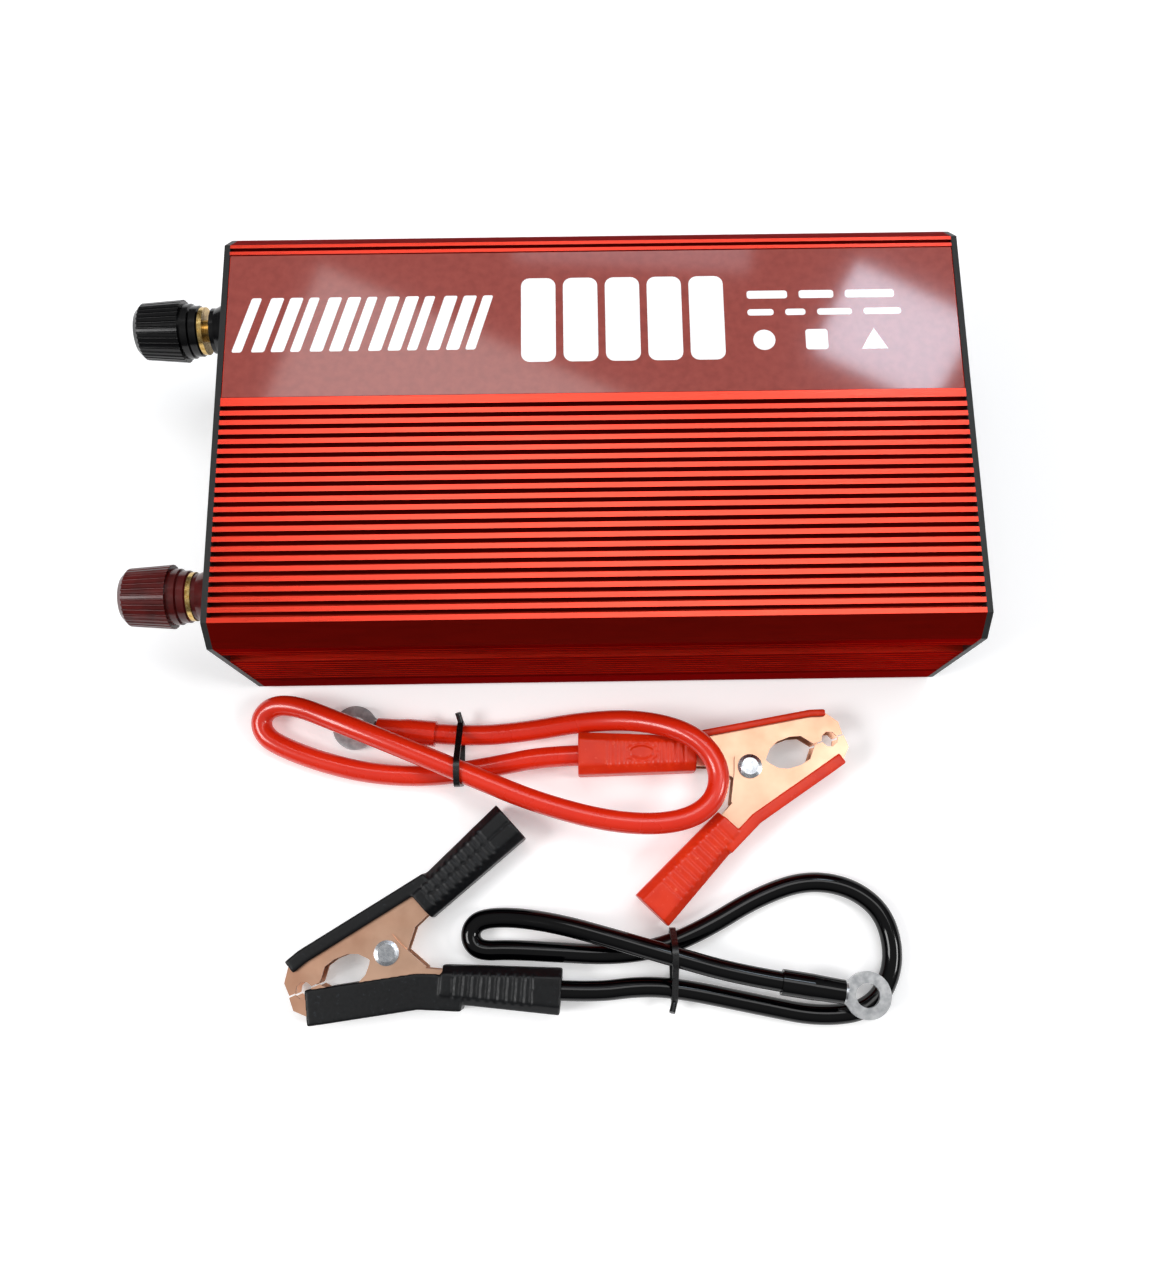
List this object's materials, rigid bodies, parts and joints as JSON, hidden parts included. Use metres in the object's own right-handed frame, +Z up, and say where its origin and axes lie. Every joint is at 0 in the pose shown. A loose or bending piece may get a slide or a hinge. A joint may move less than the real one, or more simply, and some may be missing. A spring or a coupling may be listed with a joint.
{
  "type": "power inverter",
  "caption": "Finned aluminium box inverter with screw-down battery posts, a cooling fan, a mains outlet and a pair of battery leads with spring clamps.",
  "frame": {"origin": "centre of the case's base, on the surface it stands on", "axes": "+X along the case towards the mains socket, +Y from the leads towards the back, +Z up"},
  "size_m": [0.3001, 0.2757, 0.075],
  "materials": {
    "anodised_red": "satin anodised",
    "black_panel": "satin",
    "dark_screw": "blackened",
    "bright_steel": "zinc plated",
    "label_film": "gloss",
    "black_plastic": "gloss",
    "maroon_plastic": "gloss",
    "brass": "machined",
    "copper_plate": "copper plated",
    "copper": "drawn",
    "grey_plastic": "matte",
    "board": "solder mask",
    "ferrite": "matte",
    "winding_tape": "tape",
    "can_sleeve": "shrink sleeve",
    "fuse_body": "translucent",
    "light_lens": "tinted",
    "red_pvc": "soft gloss",
    "black_pvc": "soft gloss",
    "tie_plastic": "satin",
    "tinned": "tin plated"
  },
  "bodies": {
    "case": {"upper_shell": "anodised_red", "lower_shell": "anodised_red", "terminal_end_plate": "black_panel", "socket_end_plate": "black_panel", "end_plate_screws": "dark_screw", "channel_screws": "dark_screw", "top_label": "label_film", "post_lock_nuts": "brass", "fan_frame": "black_plastic", "fan_guard": "bright_steel", "fan_screws": "dark_screw", "ac_socket": "grey_plastic", "socket_contacts": "brass", "rocker_housing": "black_plastic", "usb_port": "bright_steel", "status_lights": "light_lens", "main_board": "board", "transformer_cores": "ferrite", "transformer_windings": "winding_tape", "input_capacitors": "can_sleeve", "bus_capacitors": "can_sleeve", "mosfets": "grey_plastic", "clamp_bars": "bright_steel", "fuses": "fuse_body", "output_choke": "copper", "control_card": "board", "bus_bars": "copper", "black_post_flange": "black_plastic", "black_post_stud": "brass", "red_post_flange": "maroon_plastic", "red_post_stud": "brass"},
    "fan": {"fan_rotor": "black_plastic"},
    "rocker": {"rocker_button": "maroon_plastic"},
    "black_washer": {"black_post_washer": "brass"},
    "black_knob": {"black_post_knob": "black_plastic", "black_knob_insert": "brass"},
    "red_washer": {"red_post_washer": "brass"},
    "red_knob": {"red_post_knob": "maroon_plastic", "red_knob_insert": "brass"},
    "red_lead": {"red_cable": "red_pvc", "red_terminal_sleeve": "red_pvc", "red_ring_terminal": "tinned", "red_cable_tie": "tie_plastic", "red_fixed_jaw": "copper_plate", "red_fixed_grip": "red_pvc", "red_clamp_rivet": "bright_steel", "red_clamp_spring": "bright_steel"},
    "red_clamp_arm": {"red_moving_jaw": "copper_plate", "red_moving_grip": "red_pvc"},
    "black_lead": {"black_cable": "black_pvc", "black_terminal_sleeve": "black_pvc", "black_ring_terminal": "tinned", "black_cable_tie": "tie_plastic", "black_fixed_jaw": "copper_plate", "black_fixed_grip": "black_pvc", "black_clamp_rivet": "bright_steel", "black_clamp_spring": "bright_steel"},
    "black_clamp_arm": {"black_moving_jaw": "copper_plate", "black_moving_grip": "black_pvc"}
  },
  "joints": [
    {"name": "fan_spin", "type": "hinge", "parent": "case", "child": "fan", "pos_m": [-0.12, 0, 0.0375], "axis": [1, 0, 0], "continuous": true},
    {"name": "rocker_switch", "type": "hinge", "parent": "case", "child": "rocker", "pos_m": [0.125, -0.044, 0.038], "axis": [0, -1, 0], "range_deg": [0, 16]},
    {"name": "black_washer_slide", "type": "slide", "parent": "case", "child": "black_washer", "axis": [-1, 0, 0], "range_m": [-0.0025, 0.005]},
    {"name": "black_knob_turn", "type": "hinge", "parent": "black_washer", "child": "black_knob", "pos_m": [-0.15, 0.051, 0.046], "axis": [-1, 0, 0], "range_deg": [-721, 1441]},
    {"name": "red_washer_slide", "type": "slide", "parent": "case", "child": "red_washer", "axis": [-1, 0, 0], "range_m": [0, 0.0075]},
    {"name": "red_knob_turn", "type": "hinge", "parent": "red_washer", "child": "red_knob", "pos_m": [-0.15, -0.051, 0.046], "axis": [-1, 0, 0], "range_deg": [0, 2161]},
    {"name": "red_lead_lift", "type": "slide", "parent": "case", "child": "red_lead", "axis": [0, 0, 1], "range_m": [0, 0.1]},
    {"name": "red_clamp_open", "type": "hinge", "parent": "red_lead", "child": "red_clamp_arm", "pos_m": [0.0557, -0.1091, 0.0074], "axis": [0, 0, -1], "range_deg": [0, 28], "stiffness_Nm_per_rad": 0.6, "springref_deg": -20.05},
    {"name": "black_lead_lift", "type": "slide", "parent": "case", "child": "black_lead", "axis": [0, 0, 1], "range_m": [0, 0.1]},
    {"name": "black_clamp_open", "type": "hinge", "parent": "black_lead", "child": "black_clamp_arm", "pos_m": [-0.0756, -0.1733, 0.0074], "axis": [0, 0, -1], "range_deg": [0, 14], "stiffness_Nm_per_rad": 0.6, "springref_deg": -20.05}
  ],
  "couplings": [
    {"joint": "black_knob_turn", "follows": "black_washer_slide", "rad_per_m": 5026.5},
    {"joint": "red_knob_turn", "follows": "red_washer_slide", "rad_per_m": 5026.5}
  ]
}
